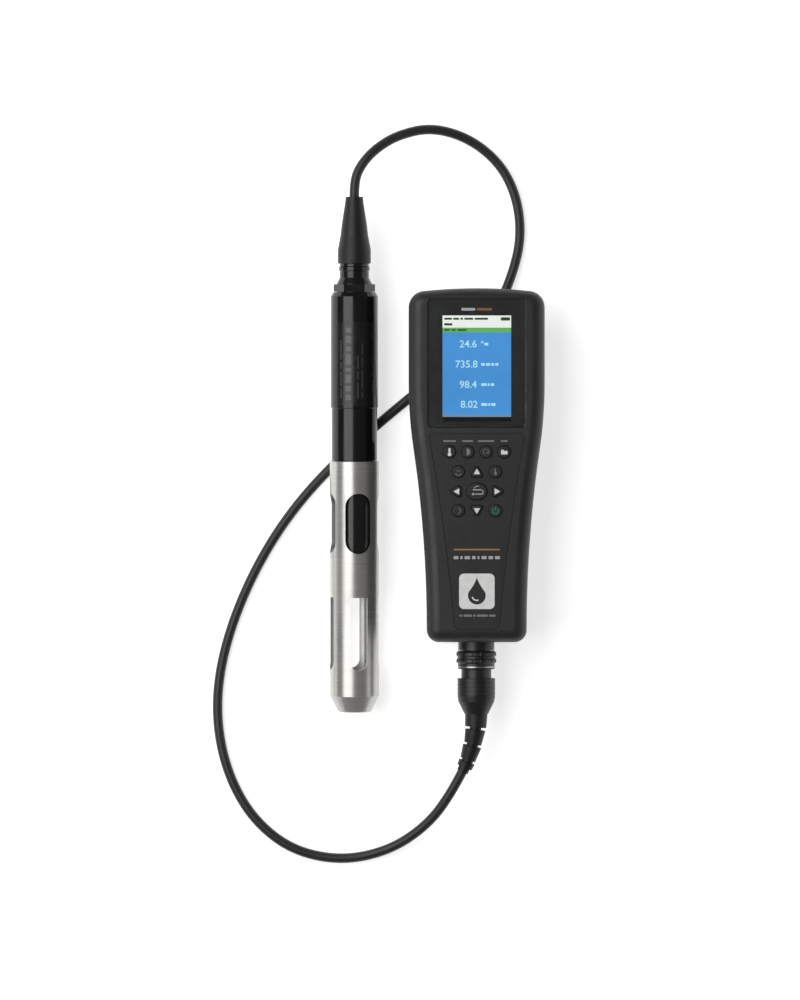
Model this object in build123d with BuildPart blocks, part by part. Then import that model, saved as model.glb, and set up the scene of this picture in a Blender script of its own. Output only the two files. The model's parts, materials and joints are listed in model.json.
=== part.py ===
"""Handheld water quality meter with its cabled probe, laid out on a table top.

Millimetres, +Z up. The origin is on the table, under the middle of the meter and probe together.
+Y runs from the meter's connector end to its display end. The meter lies on its back at +X and the
probe lies beside it at -X, its guard on the table and its body over the cable.
"""

from build123d import *

import os
from math import cos, pi, radians, sin, tan

os.makedirs("parts", exist_ok=True)

# ---------------------------------------------------------------- driving dimensions
meter_x = 24.2  # the meter's centreline
meter_end_y = -94.3  # the meter's connector end
meter_length = 216.0
head_half = 41.5  # half widths of the case at its head and its grip
grip_half = 30.5
crown_rise = 2.7  # how far the head's end bows out
front_z = 54.6  # rim round the display and keypad
parting_z = 36.0  # where the two case halves meet
head_back_z = 22.0  # back of the head, clear of the table
case_wall = 3.0
fit_gap = 0.2  # between fixed parts
ceiling_z = front_z - 3.5  # inside of the case's front

bulge_length = 122.0  # battery bulge, from the connector end
bulge_half_low = 28.0
bulge_half_high = 33.0

lens_half = 30.0
lens_low, lens_high = 130.8, 209.5
lens_z = 52.5  # underside of the lens
lens_top_z = 54.1
mask_thickness = 0.2
screen_half, screen_low, screen_high = 21.4, 136.0, 201.3

panel_z = 52.5  # underside of the keypad panel
panel_top_z = 54.1
board_z = 46.0  # underside of the main board
board_top_z = 47.6

key_radius = 3.7
key_pitch = 11.1  # between the four round keys of the top row
key_columns = 11.3  # the side columns, from the centreline
arrow_columns = 12.2
key_rows = (116.1, 104.0, 92.0, 80.3)
key_proud = 1.5
key_travel = 0.7
key_gap = 0.35  # round each key
key_lip = 0.8  # keeps a key under the panel
key_lip_height = 1.4
dome_height = 0.5
mat_low, mat_high = 73.0, 124.0  # the keypad's silicone mat

cover_half, cover_low, cover_high = 23.0, 27.0, 113.0
cover_z, cover_thickness = 0.5, 2.2
bay_half, bay_low, bay_high = 19.0, 37.0, 103.0
bay_top_z = 21.9
ledge_z, ledge_top_z = 3.5, 5.5
tripod_v = 16.5
tripod_radius = 2.6  # 1/4-20 UNC, modelled plain at its minor diameter

screw_radius = 1.5
pilot_radius = 1.55
screw_head_radius = 2.8
screw_head_height = 2.0
boss_radius = 4.3
head_seat_z = 27.0
grip_seat_z = 20.0
screw_end_z = 45.0

usb_u, usb_z = -12.0, 31.2
usb_face_v = 215.9
usb_width, usb_height = 14.0, 7.4
usb_seat_depth = 1.6
usb_seat_gap = 0.3  # round the cover
usb_cover_half = 0.75  # half the cover's thickness, and the radius of its hinged edge
usb_hinge_z = usb_z - usb_height / 2 + usb_cover_half

socket_z = 24.0  # the connector's axis
cable_radius = 3.0

probe_x = -50.6
probe_tip_y = -137.7
probe_tilt = 2.3  # degrees, the cable end lifted
guard_radius = 15.1
guard_bore = 12.9
guard_length = 154.2
guard_cone = 10.0
guard_weight = 21.0  # solid steel at the tip
opening_turn = 10.7  # the guard's openings, turned from straight up
opening_count = 4
body_end = 258.0  # top of the probe's body, from the tip
neck_end = 275.4
boot_end = 316.3

# ---------------------------------------------------------------- frames
tilt = radians(probe_tilt)
probe_along = Vector(0, cos(tilt), sin(tilt))
probe_up = Vector(0, -sin(tilt), cos(tilt))
probe_tip = Vector(probe_x, probe_tip_y, guard_radius * cos(tilt) - guard_cone * sin(tilt))
probe_axis = Axis(probe_tip, probe_along)
probe_plane = Plane(probe_tip, x_dir=(1, 0, 0), z_dir=probe_up)  # (radius, distance from the tip)

socket_origin = Vector(meter_x, meter_end_y, socket_z)
socket_axis = Axis(socket_origin, (0, 1, 0))
socket_plane = Plane(socket_origin, x_dir=(1, 0, 0), z_dir=(0, 0, 1))  # (radius, distance inwards)


def meter_plane(z):
    """A level plane whose (x, y) are across and along the meter, from its connector end."""
    return Plane(origin=(meter_x, meter_end_y, z))


def end_plane(depth, z=socket_z):
    """Faces out of the meter's connector end, that far inside it."""
    return Plane((meter_x, meter_end_y + depth, z), x_dir=(1, 0, 0), z_dir=(0, -1, 0))


def top_plane(depth):
    """Faces out of the meter's display end at the data socket, that far inside it."""
    return Plane(
        (meter_x + usb_u, meter_end_y + usb_face_v - depth, usb_z), x_dir=(1, 0, 0), z_dir=(0, 1, 0)
    )


def probe_section(distance):
    """A plane across the probe, that far from its tip, facing the cable end."""
    return Plane(probe_tip + probe_along * distance, x_dir=(1, 0, 0), z_dir=probe_along)


def probe_side(turn, distance):
    """Faces out of the probe at that turn from straight up, with x along the probe."""
    outwards = probe_up * cos(radians(turn)) + Vector(1, 0, 0) * sin(radians(turn))
    return Plane(probe_tip + probe_along * distance, x_dir=probe_along, z_dir=outwards)


def save(piece, name):
    """Labels a finished piece and writes its STEP file."""
    piece.part.label = name
    export_step(piece.part, f"parts/{name}.step")


def profile(plane, *outline):
    """A closed outline of (radius, distance) points, to be revolved."""
    with BuildSketch(plane) as sketch:
        with BuildLine():
            Polyline(*outline, close=True)
        make_face()
    return sketch.sketch


def probe_profile(*outline):
    return profile(probe_plane, *outline)


def socket_profile(*outline):
    return profile(socket_plane, *outline)


# ---------------------------------------------------------------- meter outlines
# each side sweeps out and back again in two arcs, which meet on the line between their ends
flare_low, flare_turn, flare_high = 8.0, 118.0, 158.0
flare_share = (flare_turn - flare_low) / (flare_high - flare_low)
flare_turn_half = grip_half + flare_share * (head_half - grip_half)


def case_outline(z, inset=0.0):
    """The case seen from the front: a wide head that narrows into a straight grip."""
    with BuildSketch(meter_plane(z)) as outline:
        with BuildLine():
            Polyline((0, 0), (grip_half, 0), (grip_half, flare_low))
            flare = TangentArc((grip_half, flare_low), (flare_turn_half, flare_turn), tangent=(0, 1))
            TangentArc((flare_turn_half, flare_turn), (head_half, flare_high), tangent=flare % 1)
            Line((head_half, flare_high), (head_half, meter_length - crown_rise))
            ThreePointArc(
                (head_half, meter_length - crown_rise),
                (head_half / 2, meter_length - crown_rise / 4),
                (0, meter_length),
            )
            mirror(about=Plane.YZ)
        make_face()
        shoulder_v = meter_length - crown_rise
        fillet(outline.vertices().group_by(Axis.Y)[0], radius=7.5)
        fillet(outline.vertices().filter_by_position(Axis.Y, shoulder_v - 1, shoulder_v + 1), radius=10.0)
        if inset:
            offset(amount=-inset)
    return outline.sketch


def bulge_outline(z, inset=0.0):
    """The battery bulge on the back, tapering towards the connector end."""
    with BuildSketch(meter_plane(z)) as outline:
        with BuildLine():
            Polyline(
                (-bulge_half_low, 0),
                (bulge_half_low, 0),
                (bulge_half_high, bulge_length),
                (-bulge_half_high, bulge_length),
                close=True,
            )
        make_face()
        fillet(outline.vertices().group_by(Axis.Y)[0], radius=6.0)
        fillet(outline.vertices().group_by(Axis.Y)[-1], radius=10.0)
        if inset:
            offset(amount=-inset)
    return outline.sketch


def panel_outline(z, inset=0.0):
    """The keypad panel: wide under the display, tapering down the grip."""
    with BuildSketch(meter_plane(z)) as outline:
        with BuildLine():
            Line((0, 8), (13.4, 8))
            ThreePointArc((13.4, 8), (20.1, 67.7), (29.4, 127.4))
            Line((29.4, 127.4), (0, 127.4))
            mirror(about=Plane.YZ)
        make_face()
        fillet(outline.vertices().group_by(Axis.Y)[0], radius=4.0)
        fillet(outline.vertices().group_by(Axis.Y)[-1], radius=3.0)
        if inset:
            offset(amount=-inset)
    return outline.sketch


def window_outline(z, half, low, high, radius, grow=0.0):
    """A round-cornered rectangle across the meter's centreline."""
    with BuildSketch(meter_plane(z)) as outline:
        with Locations((0, (low + high) / 2)):
            RectangleRounded(2 * (half + grow), high - low + 2 * grow, radius)
    return outline.sketch


# ---------------------------------------------------------------- keys
keys = {
    "key_system": ("round", -1.5 * key_pitch, key_rows[0]),
    "key_probe": ("round", -0.5 * key_pitch, key_rows[0]),
    "key_calibration": ("round", 0.5 * key_pitch, key_rows[0]),
    "key_file": ("round", 1.5 * key_pitch, key_rows[0]),
    "key_backlight": ("round", -key_columns, key_rows[1]),
    "key_up": ("up", 0, key_rows[1] - 0.8),
    "key_help": ("round", key_columns, key_rows[1]),
    "key_left": ("left", -arrow_columns, key_rows[2]),
    "key_enter": ("enter", 0, key_rows[2]),
    "key_right": ("right", arrow_columns, key_rows[2]),
    "key_escape": ("round", -key_columns, key_rows[3]),
    "key_down": ("down", 0, key_rows[3] + 0.8),
    "key_power": ("round", key_columns, key_rows[3]),
}
arrow_turns = {"up": 90, "left": 180, "down": 270, "right": 0}


def key_prism(name, z, height, grow=0.0, corner=1.2):
    """A straight solid of one key's outline, grown all round, from z up by height."""
    shape, across, along = keys[name]
    with BuildPart() as prism:
        with BuildSketch(meter_plane(z)) as outline:
            with Locations((across, along)):
                if shape == "round":
                    Circle(key_radius + grow)
                elif shape == "enter":
                    Ellipse(6.2 + grow, 5.2 + grow)
                else:
                    RegularPolygon(4.9 + 2 * grow, 3, rotation=arrow_turns[shape])
            if shape in arrow_turns:
                fillet(outline.vertices(), radius=corner)
        extrude(amount=height)
    return prism


lip_top_z = panel_z - fit_gap
lip_z = lip_top_z - key_lip_height
nub_z = board_top_z + dome_height + key_travel + 0.1

for key_name, (_, key_u, key_v) in keys.items():
    with BuildPart() as key_cap:
        add(key_prism(key_name, lip_top_z, panel_top_z + key_proud - lip_top_z).part)
        fillet(key_cap.faces().sort_by(Axis.Z)[-1].edges(), radius=0.6)
        add(key_prism(key_name, lip_z, key_lip_height, grow=key_lip, corner=1.6).part)
        with BuildSketch(meter_plane(nub_z)):
            with Locations((key_u, key_v)):
                Circle(1.5)
        extrude(amount=lip_z - nub_z)
    save(key_cap, key_name)

with BuildPart() as keypad_panel:
    extrude(panel_outline(panel_z), amount=panel_top_z - panel_z)
    for key_name in keys:
        add(key_prism(key_name, panel_z, 4, grow=key_gap, corner=1.4).part, mode=Mode.SUBTRACT)
save(keypad_panel, "keypad_panel")


def beyond_keys(z, margin=0.0):
    """Rectangles over the rest of the panel, on both sides of the keys."""
    reach = 40
    with BuildSketch(meter_plane(z)) as outline:
        with Locations((0, mat_low - margin - reach), (0, mat_high + margin + reach)):
            Rectangle(2 * lens_half, 2 * reach)
    return outline.sketch


with BuildPart() as keypad_mat:
    extrude(panel_outline(board_top_z, inset=3.3), amount=lip_top_z - board_top_z)
    extrude(beyond_keys(board_top_z), amount=10, mode=Mode.SUBTRACT)
    for key_name in keys:
        key_hole = key_prism(key_name, board_top_z, 6, grow=key_lip + key_gap, corner=1.8)
        add(key_hole.part, mode=Mode.SUBTRACT)
save(keypad_mat, "keypad_mat")

with BuildPart() as key_domes:
    with BuildSketch(meter_plane(board_top_z)):
        with Locations(*[spot[1:] for spot in keys.values()]):
            Circle(2.4)
    extrude(amount=dome_height, taper=40)
save(key_domes, "key_domes")

# ---------------------------------------------------------------- display
with BuildPart() as display_lens:
    extrude(window_outline(lens_z, lens_half, lens_low, lens_high, 3), amount=lens_top_z - lens_z)
    chamfer(display_lens.faces().sort_by(Axis.Z)[-1].edges(), length=0.3)
save(display_lens, "display_lens")

with BuildPart() as lens_mask:
    mask_z = lens_z - mask_thickness
    extrude(window_outline(mask_z, lens_half, lens_low, lens_high, 3, grow=-0.5), amount=mask_thickness)
    extrude(
        window_outline(mask_z, screen_half, screen_low, screen_high, 0.5),
        amount=mask_thickness,
        mode=Mode.SUBTRACT,
    )
save(lens_mask, "lens_mask")

with BuildPart() as lcd_module:
    extrude(window_outline(board_top_z, 26, 130.5, 207, 1), amount=3.0)
    extrude(window_outline(board_top_z + 3.0, 22.6, 134.4, 202.9, 0.5), amount=1.3)
save(lcd_module, "lcd_module")

with BuildPart() as display_gasket:
    extrude(window_outline(board_top_z + 3.0, 25.6, 131, 206.5, 1.5), amount=0.5)
    extrude(window_outline(board_top_z, 23.6, 133.2, 204, 1), amount=5, mode=Mode.SUBTRACT)
save(display_gasket, "display_gasket")

# ---------------------------------------------------------------- main board
standoff_spots = ((14, 25), (18, 67), (23.6, 127.2))
standoffs = [(side * across, along) for side in (-1, 1) for across, along in standoff_spots]

with BuildPart() as main_board:
    with BuildSketch(meter_plane(board_z)) as board_outline:
        with BuildLine():
            Polyline((0, 20), (20, 20), (22, 70), (27, 130), (27, 204), (0, 204))
            mirror(about=Plane.YZ)
        make_face()
        fillet(board_outline.vertices(), radius=2)
        with Locations(*standoffs):
            Circle(1.1, mode=Mode.SUBTRACT)
    extrude(amount=board_top_z - board_z)
    with BuildSketch(meter_plane(board_z)):
        with Locations((0, 96), (10, 150), (-12, 176)):
            Rectangle(14, 14)
        with Locations((-13, 120), (13, 122), (0, 66)):
            Rectangle(8, 5)
    extrude(amount=-1.6)
save(main_board, "main_board")

with BuildPart() as board_screws:
    with BuildSketch(meter_plane(board_z)):
        with Locations(*standoffs):
            Circle(1.9)
    extrude(amount=-1.4)
    with BuildSketch(meter_plane(board_z)):
        with Locations(*standoffs):
            Circle(0.95)
    extrude(amount=4.2)
save(board_screws, "board_screws")

with BuildPart() as buzzer:
    with BuildSketch(meter_plane(board_z)):
        with Locations((0, 42)):
            Circle(6.5)
    extrude(amount=-3.2)
    with BuildSketch(meter_plane(board_z - 3.2)):
        with Locations((0, 42)):
            Circle(1.2)
    extrude(amount=1.5, mode=Mode.SUBTRACT)
save(buzzer, "buzzer")

# ---------------------------------------------------------------- case halves
head_screws = [(side * 33.0, along) for side in (-1, 1) for along in (146.0, 197.0)]
grip_screws = [(side * 19.0, 11.5) for side in (-1, 1)]
cover_screw_spots = [(side * 15.0, along) for side in (-1, 1) for along in (32.0, 108.0)]
case_screws = head_screws + grip_screws


def discs(plane, spots, radius):
    """A sketch of equal discs, one at each spot."""
    with BuildSketch(plane) as sketch:
        with Locations(*spots):
            Circle(radius)
    return sketch.sketch


with BuildPart() as front_cavity:
    extrude(case_outline(parting_z, case_wall), amount=ceiling_z - parting_z)
    fillet(front_cavity.faces().sort_by(Axis.Z)[-1].edges(), radius=4.0)

with BuildPart() as key_opening:
    extrude(panel_outline(ceiling_z - 1, inset=3.0), amount=10)
    extrude(beyond_keys(ceiling_z - 1, margin=0.3), amount=10, mode=Mode.SUBTRACT)

with BuildPart() as front_case:
    extrude(case_outline(parting_z), amount=front_z - parting_z)
    fillet(front_case.faces().sort_by(Axis.Z)[-1].edges(), radius=8.0)
    chamfer(front_case.faces().sort_by(Axis.Z)[0].edges(), length=0.5)
    add(front_cavity.part, mode=Mode.SUBTRACT)
    extrude(discs(meter_plane(parting_z), case_screws, boss_radius), amount=ceiling_z - parting_z)
    extrude(
        discs(meter_plane(parting_z), case_screws, pilot_radius),
        amount=screw_end_z + 0.5 - parting_z,
        mode=Mode.SUBTRACT,
    )
    extrude(discs(meter_plane(board_top_z), standoffs, 2.4), amount=ceiling_z - board_top_z)
    extrude(discs(meter_plane(board_top_z), standoffs, 1.0), amount=3.0, mode=Mode.SUBTRACT)
    # the lens lies in a seat, with the display showing through the floor of the seat
    extrude(
        window_outline(lens_z - mask_thickness, lens_half, lens_low, lens_high, 3, grow=fit_gap),
        amount=10,
        mode=Mode.SUBTRACT,
    )
    extrude(window_outline(ceiling_z - 1, 23.4, 133.4, 203.8, 1), amount=10, mode=Mode.SUBTRACT)
    # the keypad panel has a seat of its own, open under the keys
    extrude(panel_outline(panel_z, inset=-fit_gap), amount=10, mode=Mode.SUBTRACT)
    add(key_opening.part, mode=Mode.SUBTRACT)
save(front_case, "front_case")

with BuildPart() as case_gasket:
    extrude(case_outline(parting_z - 0.8, 1.0), amount=0.8)
    extrude(case_outline(parting_z - 0.8, 2.0), amount=0.8, mode=Mode.SUBTRACT)
save(case_gasket, "case_gasket")

with BuildPart() as rear_cavity:
    inner_back_z = head_back_z + case_wall
    extrude(case_outline(inner_back_z, case_wall), amount=parting_z - inner_back_z)
    extrude(bulge_outline(case_wall, case_wall), amount=parting_z - case_wall)

with BuildPart() as rear_case:
    extrude(case_outline(head_back_z), amount=parting_z - head_back_z)
    fillet(rear_case.faces().sort_by(Axis.Z)[0].edges(), radius=5.0)
    chamfer(rear_case.faces().sort_by(Axis.Z)[-1].edges(), length=0.5)
    extrude(bulge_outline(0), amount=head_back_z + 6)
    fillet(rear_case.faces().sort_by(Axis.Z)[0].edges(), radius=4.0)
    add(rear_cavity.part, mode=Mode.SUBTRACT)
    # a ledge for the battery cover, and walls that keep water out of the battery bay
    extrude(
        window_outline(case_wall, cover_half, cover_low, cover_high, 4, grow=2.0),
        amount=ledge_top_z - case_wall,
    )
    extrude(
        window_outline(ledge_top_z, bay_half, bay_low, bay_high, 2, grow=1.8),
        amount=bay_top_z + 1.5 - ledge_top_z,
    )
    extrude(discs(meter_plane(ledge_top_z), cover_screw_spots, 3.4), amount=7.0)
    extrude(
        window_outline(ledge_z, cover_half, cover_low, cover_high, 4, grow=fit_gap),
        amount=-10,
        mode=Mode.SUBTRACT,
    )
    extrude(
        window_outline(ledge_z, bay_half, bay_low, bay_high, 2),
        amount=bay_top_z - ledge_z,
        mode=Mode.SUBTRACT,
    )
    extrude(discs(meter_plane(ledge_z), cover_screw_spots, pilot_radius), amount=7.5, mode=Mode.SUBTRACT)
    # columns for the case screws, whose heads lie deep in wells
    column_z = head_back_z + 1
    extrude(discs(meter_plane(column_z), head_screws, boss_radius), amount=parting_z - column_z)
    extrude(discs(meter_plane(1), grip_screws, boss_radius), amount=parting_z - 1)
    extrude(discs(meter_plane(head_seat_z), head_screws, 3.2), amount=-10, mode=Mode.SUBTRACT)
    extrude(discs(meter_plane(grip_seat_z), grip_screws, 3.2), amount=-30, mode=Mode.SUBTRACT)
    extrude(discs(meter_plane(1), case_screws, 1.7), amount=parting_z, mode=Mode.SUBTRACT)
    # the tripod insert's boss
    extrude(discs(meter_plane(1), [(0, tripod_v)], 7.5), amount=10.5)
    extrude(discs(meter_plane(-1), [(0, tripod_v)], 5.0), amount=10.7, mode=Mode.SUBTRACT)
    # the connector's hole
    extrude(discs(end_plane(-1), [(0, 0)], 8.7), amount=-10, mode=Mode.SUBTRACT)
    # a groove for the gasket in the parting face
    add(case_gasket.part, mode=Mode.SUBTRACT)
    # the socket for data and charging, with a seat round it for its cover, cut from clear of the crown
    crown_clearance = 1.0
    with BuildSketch(top_plane(-crown_clearance)):
        RectangleRounded(usb_width + 2 * usb_seat_gap, usb_height + 2 * usb_seat_gap, 2.2)
        with Locations((0, usb_height / 4 + usb_seat_gap / 2)):
            Rectangle(usb_width + 2 * usb_seat_gap, usb_height / 2 + usb_seat_gap)
    extrude(amount=-(usb_seat_depth + crown_clearance), mode=Mode.SUBTRACT)
    with BuildSketch(top_plane(0)):
        RectangleRounded(9.0, 4.2, 1)
    extrude(amount=-6, mode=Mode.SUBTRACT)
    with BuildSketch(meter_plane(inner_back_z)):
        with Locations((usb_u, 209)):
            Rectangle(12, 10)
    extrude(amount=usb_z - 1.6 - inner_back_z)
save(rear_case, "rear_case")

with BuildPart() as case_fasteners:
    for seat_z, spots in ((head_seat_z, head_screws), (grip_seat_z, grip_screws)):
        extrude(discs(meter_plane(seat_z), spots, screw_head_radius), amount=-screw_head_height)
        extrude(discs(meter_plane(seat_z), spots, screw_radius), amount=screw_end_z - seat_z)
        with BuildSketch(meter_plane(seat_z - screw_head_height)):
            with Locations(*spots):
                RegularPolygon(1.4, 6)
        extrude(amount=1.2, mode=Mode.SUBTRACT)
save(case_fasteners, "case_screws")

# ---------------------------------------------------------------- battery
with BuildPart() as battery_gasket:
    extrude(window_outline(ledge_z, 22.0, 35.9, 104.1, 3), amount=cover_z + cover_thickness - ledge_z)
    extrude(window_outline(ledge_z + 1, 19.6, 37.9, 102.1, 2), amount=-4, mode=Mode.SUBTRACT)
save(battery_gasket, "battery_gasket")

with BuildPart() as battery_cover:
    extrude(window_outline(cover_z, cover_half, cover_low, cover_high, 4), amount=cover_thickness)
    chamfer(battery_cover.faces().sort_by(Axis.Z)[0].edges(), length=0.5)
    extrude(window_outline(cover_z, 15, 60, 61.6, 0.6), amount=0.5, mode=Mode.SUBTRACT)
    extrude(window_outline(cover_z, 15, 78, 79.6, 0.6), amount=0.5, mode=Mode.SUBTRACT)
    for screw_u, screw_v in cover_screw_spots:
        with Locations(Location((meter_x + screw_u, meter_end_y + screw_v, cover_z), (180, 0, 0))):
            CounterSinkHole(screw_radius + 0.1, screw_head_radius + 0.1, depth=10, counter_sink_angle=90)
save(battery_cover, "battery_cover")

with BuildPart() as battery_cover_screws:
    extrude(discs(meter_plane(cover_z + 0.1), cover_screw_spots, screw_head_radius), amount=1.3, taper=45)
    extrude(discs(meter_plane(cover_z + 0.6), cover_screw_spots, screw_radius), amount=9.0)
    with BuildSketch(meter_plane(cover_z)):
        with Locations(*cover_screw_spots):
            RegularPolygon(1.2, 6)
    extrude(amount=1.0, mode=Mode.SUBTRACT)
save(battery_cover_screws, "battery_cover_screws")

with BuildPart() as battery_pack:
    extrude(window_outline(3.0, bay_half, bay_low, bay_high, 3, grow=-0.5), amount=18.5)
    fillet(battery_pack.edges().filter_by(Axis.Y), radius=4.0)
save(battery_pack, "battery_pack")

with BuildPart() as tripod_insert:
    extrude(discs(meter_plane(0.2), [(0, tripod_v)], 5.0), amount=9.5)
    extrude(discs(meter_plane(0.2), [(0, tripod_v)], tripod_radius), amount=8.3, mode=Mode.SUBTRACT)
save(tripod_insert, "tripod_insert")

# ---------------------------------------------------------------- data socket and its cover
with BuildPart() as usb_socket:
    with BuildSketch(top_plane(usb_seat_depth + 0.3)):
        RectangleRounded(8.0, 3.1, 0.8)
    extrude(amount=-6.5)
    with BuildSketch(top_plane(usb_seat_depth + 0.3)):
        RectangleRounded(7.2, 2.3, 0.5)
        Rectangle(5.0, 0.6, mode=Mode.SUBTRACT)
    extrude(amount=-5.0, mode=Mode.SUBTRACT)
save(usb_socket, "usb_socket")

# the cover turns about its lower edge, which is rounded to its full thickness
usb_hinge_y = meter_end_y + usb_face_v - usb_cover_half
usb_hinge_plane = Plane((meter_x + usb_u, usb_hinge_y, usb_hinge_z), x_dir=(0, 1, 0), z_dir=(1, 0, 0))

with BuildPart() as usb_cover:
    with BuildSketch(usb_hinge_plane):
        Circle(usb_cover_half)
        with Locations((0, (usb_height - usb_cover_half) / 2)):
            Rectangle(2 * usb_cover_half, usb_height - usb_cover_half)
    extrude(amount=usb_width / 2, both=True)
    fillet(usb_cover.edges().filter_by(Axis.Y).group_by(Axis.Z)[-1], radius=2.0)
save(usb_cover, "usb_cover")

# ---------------------------------------------------------------- connector on the meter
contact_ring = PolarLocations(3.7, 6)

with BuildPart() as meter_socket:
    revolve(
        socket_profile(
            (7.2, -13.0), (8.6, -13.0), (8.6, -5.2), (11.1, -5.2), (11.1, -4.9), (11.1, 0),
            (10.6, 0), (10.6, -0.8), (9.3, -0.8), (9.3, 0), (8.5, 0), (8.5, 9.0), (7.2, 9.0),
        ),
        axis=socket_axis,
    )
    # bayonet studs on the barrel
    for stud_turn in (15, 135, 255):
        stud_out = Vector(sin(radians(stud_turn)), 0, cos(radians(stud_turn)))
        with BuildSketch(Plane(socket_origin + Vector(0, -10, 0) + stud_out * 8.2, z_dir=stud_out)):
            Circle(0.9)
        extrude(amount=1.0)
save(meter_socket, "meter_socket")

with BuildPart() as socket_oring:
    revolve(socket_profile((9.4, -0.75), (10.5, -0.75), (10.5, 0), (9.4, 0)), axis=socket_axis)
save(socket_oring, "socket_oring")

with BuildPart() as socket_nut:
    with BuildSketch(end_plane(case_wall)):
        RegularPolygon(13.6, 6)
        Circle(8.55, mode=Mode.SUBTRACT)
    extrude(amount=-3.5)
save(socket_nut, "socket_nut")

with BuildPart() as socket_insert:
    with BuildSketch(end_plane(-1.0)):
        Circle(7.15)
        with contact_ring:
            Circle(0.75, mode=Mode.SUBTRACT)
    extrude(amount=-9.5)
save(socket_insert, "socket_insert")

with BuildPart() as socket_contacts:
    with BuildSketch(end_plane(-9.5)):
        with contact_ring:
            Circle(0.7)
    extrude(amount=-22.0)
save(socket_contacts, "socket_contacts")

# ---------------------------------------------------------------- plug on the cable
with BuildPart() as coupling_ring:
    revolve(
        socket_profile(
            (9.6, -5.6), (11.4, -5.6), (11.7, -6.4), (12.3, -6.9), (12.3, -8.5), (11.6, -9.1),
            (11.6, -10.4), (12.3, -11.0), (12.3, -12.6), (11.6, -13.2), (11.3, -13.5),
            (11.3, -15.2), (10.9, -15.2), (10.9, -15.9), (11.3, -15.9), (11.3, -16.6),
            (11.0, -16.9), (8.0, -16.9), (8.0, -15.6), (9.6, -15.6),
        ),
        axis=socket_axis,
    )
    # finger grooves across the two ribs
    with BuildSketch(end_plane(-6.2)):
        with PolarLocations(12.9, 18):
            Circle(0.9)
    extrude(amount=7.2, mode=Mode.SUBTRACT)
save(coupling_ring, "coupling_ring")

with BuildPart() as ring_clip:
    revolve(
        socket_profile((10.9, -15.25), (11.45, -15.25), (11.45, -15.85), (10.9, -15.85)),
        axis=socket_axis,
    )
save(ring_clip, "ring_clip")

with BuildPart() as plug_shell:
    revolve(
        socket_profile(
            (5.7, -1.5), (6.9, -1.5), (6.9, -13.3), (9.2, -13.3), (9.2, -15.4), (7.8, -15.4),
            (7.8, -17.1), (9.2, -17.1), (9.2, -22.5), (11.4, -22.5), (11.6, -23.0), (11.6, -33.5),
            (11.0, -36.9), (7.3, -44.4), (0, -44.4), (0, -22.0), (5.7, -22.0),
        ),
        axis=socket_axis,
    )
    for groove in range(4):
        groove_d = -25.0 - 2.6 * groove
        revolve(
            socket_profile(
                (11.3, groove_d), (13, groove_d + 0.4), (13, groove_d - 0.8), (11.3, groove_d - 0.4)
            ),
            axis=socket_axis,
            mode=Mode.SUBTRACT,
        )
save(plug_shell, "plug_shell")

with BuildPart() as plug_insert:
    with BuildSketch(end_plane(-20.0)):
        Circle(5.65)
        with contact_ring:
            Circle(1.15, mode=Mode.SUBTRACT)
    extrude(amount=-18.0)
save(plug_insert, "plug_insert")

with BuildPart() as plug_contacts:
    with BuildSketch(end_plane(-19.0)):
        with contact_ring:
            Circle(1.1)
            Circle(0.8, mode=Mode.SUBTRACT)
    extrude(amount=-16.8)
save(plug_contacts, "plug_contacts")

# the strain relief bends towards the cable, and its collars thin towards the end
boot_turn, boot_drop = radians(27), radians(8)
boot_length = 36.8
plug_boot_start = socket_origin + Vector(0, -44.4, 0)
plug_boot_heading = Vector(
    -sin(boot_turn) * cos(boot_drop), -cos(boot_turn) * cos(boot_drop), -sin(boot_drop)
)
boot_bend = radians(Vector(0, -1, 0).get_angle(plug_boot_heading))
boot_chord = 2 * boot_length / boot_bend * sin(boot_bend / 2)
plug_boot_end = plug_boot_start + (Vector(0, -1, 0) + plug_boot_heading).normalized() * boot_chord

with BuildLine() as boot_path:
    TangentArc(plug_boot_start, plug_boot_end, tangent=(0, -1, 0))


def boot_section(distance):
    """A plane across the plug's strain relief, that far along it."""
    along = boot_path.line @ (distance / boot_length)
    return Plane(along, z_dir=boot_path.line % (distance / boot_length))


boot_collars = (
    (0.0, 8.0, 6.9, 6.6),
    (9.8, 18.4, 6.3, 5.4),
    (20.1, 28.6, 5.8, 4.8),
    (30.3, 33.8, 5.1, 4.8),
)

with BuildPart() as plug_boot:
    with BuildSketch(boot_section(0)):
        Circle(3.6)
    sweep(path=boot_path.line)
    for collar_start, collar_stop, wide, narrow in boot_collars:
        with BuildSketch(boot_section(collar_start)):
            Circle(wide)
        with BuildSketch(boot_section(collar_stop)):
            Circle(narrow)
        loft()
save(plug_boot, "plug_boot")

# ---------------------------------------------------------------- probe
with BuildPart() as probe_guard:
    revolve(
        probe_profile(
            (0, 0), (10.2, 0), (guard_radius, guard_cone), (guard_radius, guard_length),
            (guard_bore, guard_length), (guard_bore, guard_weight), (0, guard_weight),
        ),
        axis=probe_axis,
    )
    fillet(probe_guard.edges().filter_by(GeomType.CIRCLE).group_by(Axis.Y)[0], radius=1.5)
    for quarter in range(opening_count):
        turn = opening_turn + quarter * 360 / opening_count
        with BuildSketch(probe_side(turn, 116.2)):
            SlotOverall(37.0, 16.0)
        extrude(amount=2 * guard_radius, mode=Mode.SUBTRACT)
        with BuildSketch(probe_side(turn, 48.5)):
            SlotOverall(44.6, 11.0)
            with Locations((16.8, 0)):  # square at the end towards the cable
                RectangleRounded(11.0, 11.0, 1.0)
        extrude(amount=2 * guard_radius, mode=Mode.SUBTRACT)
save(probe_guard, "probe_guard")

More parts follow.
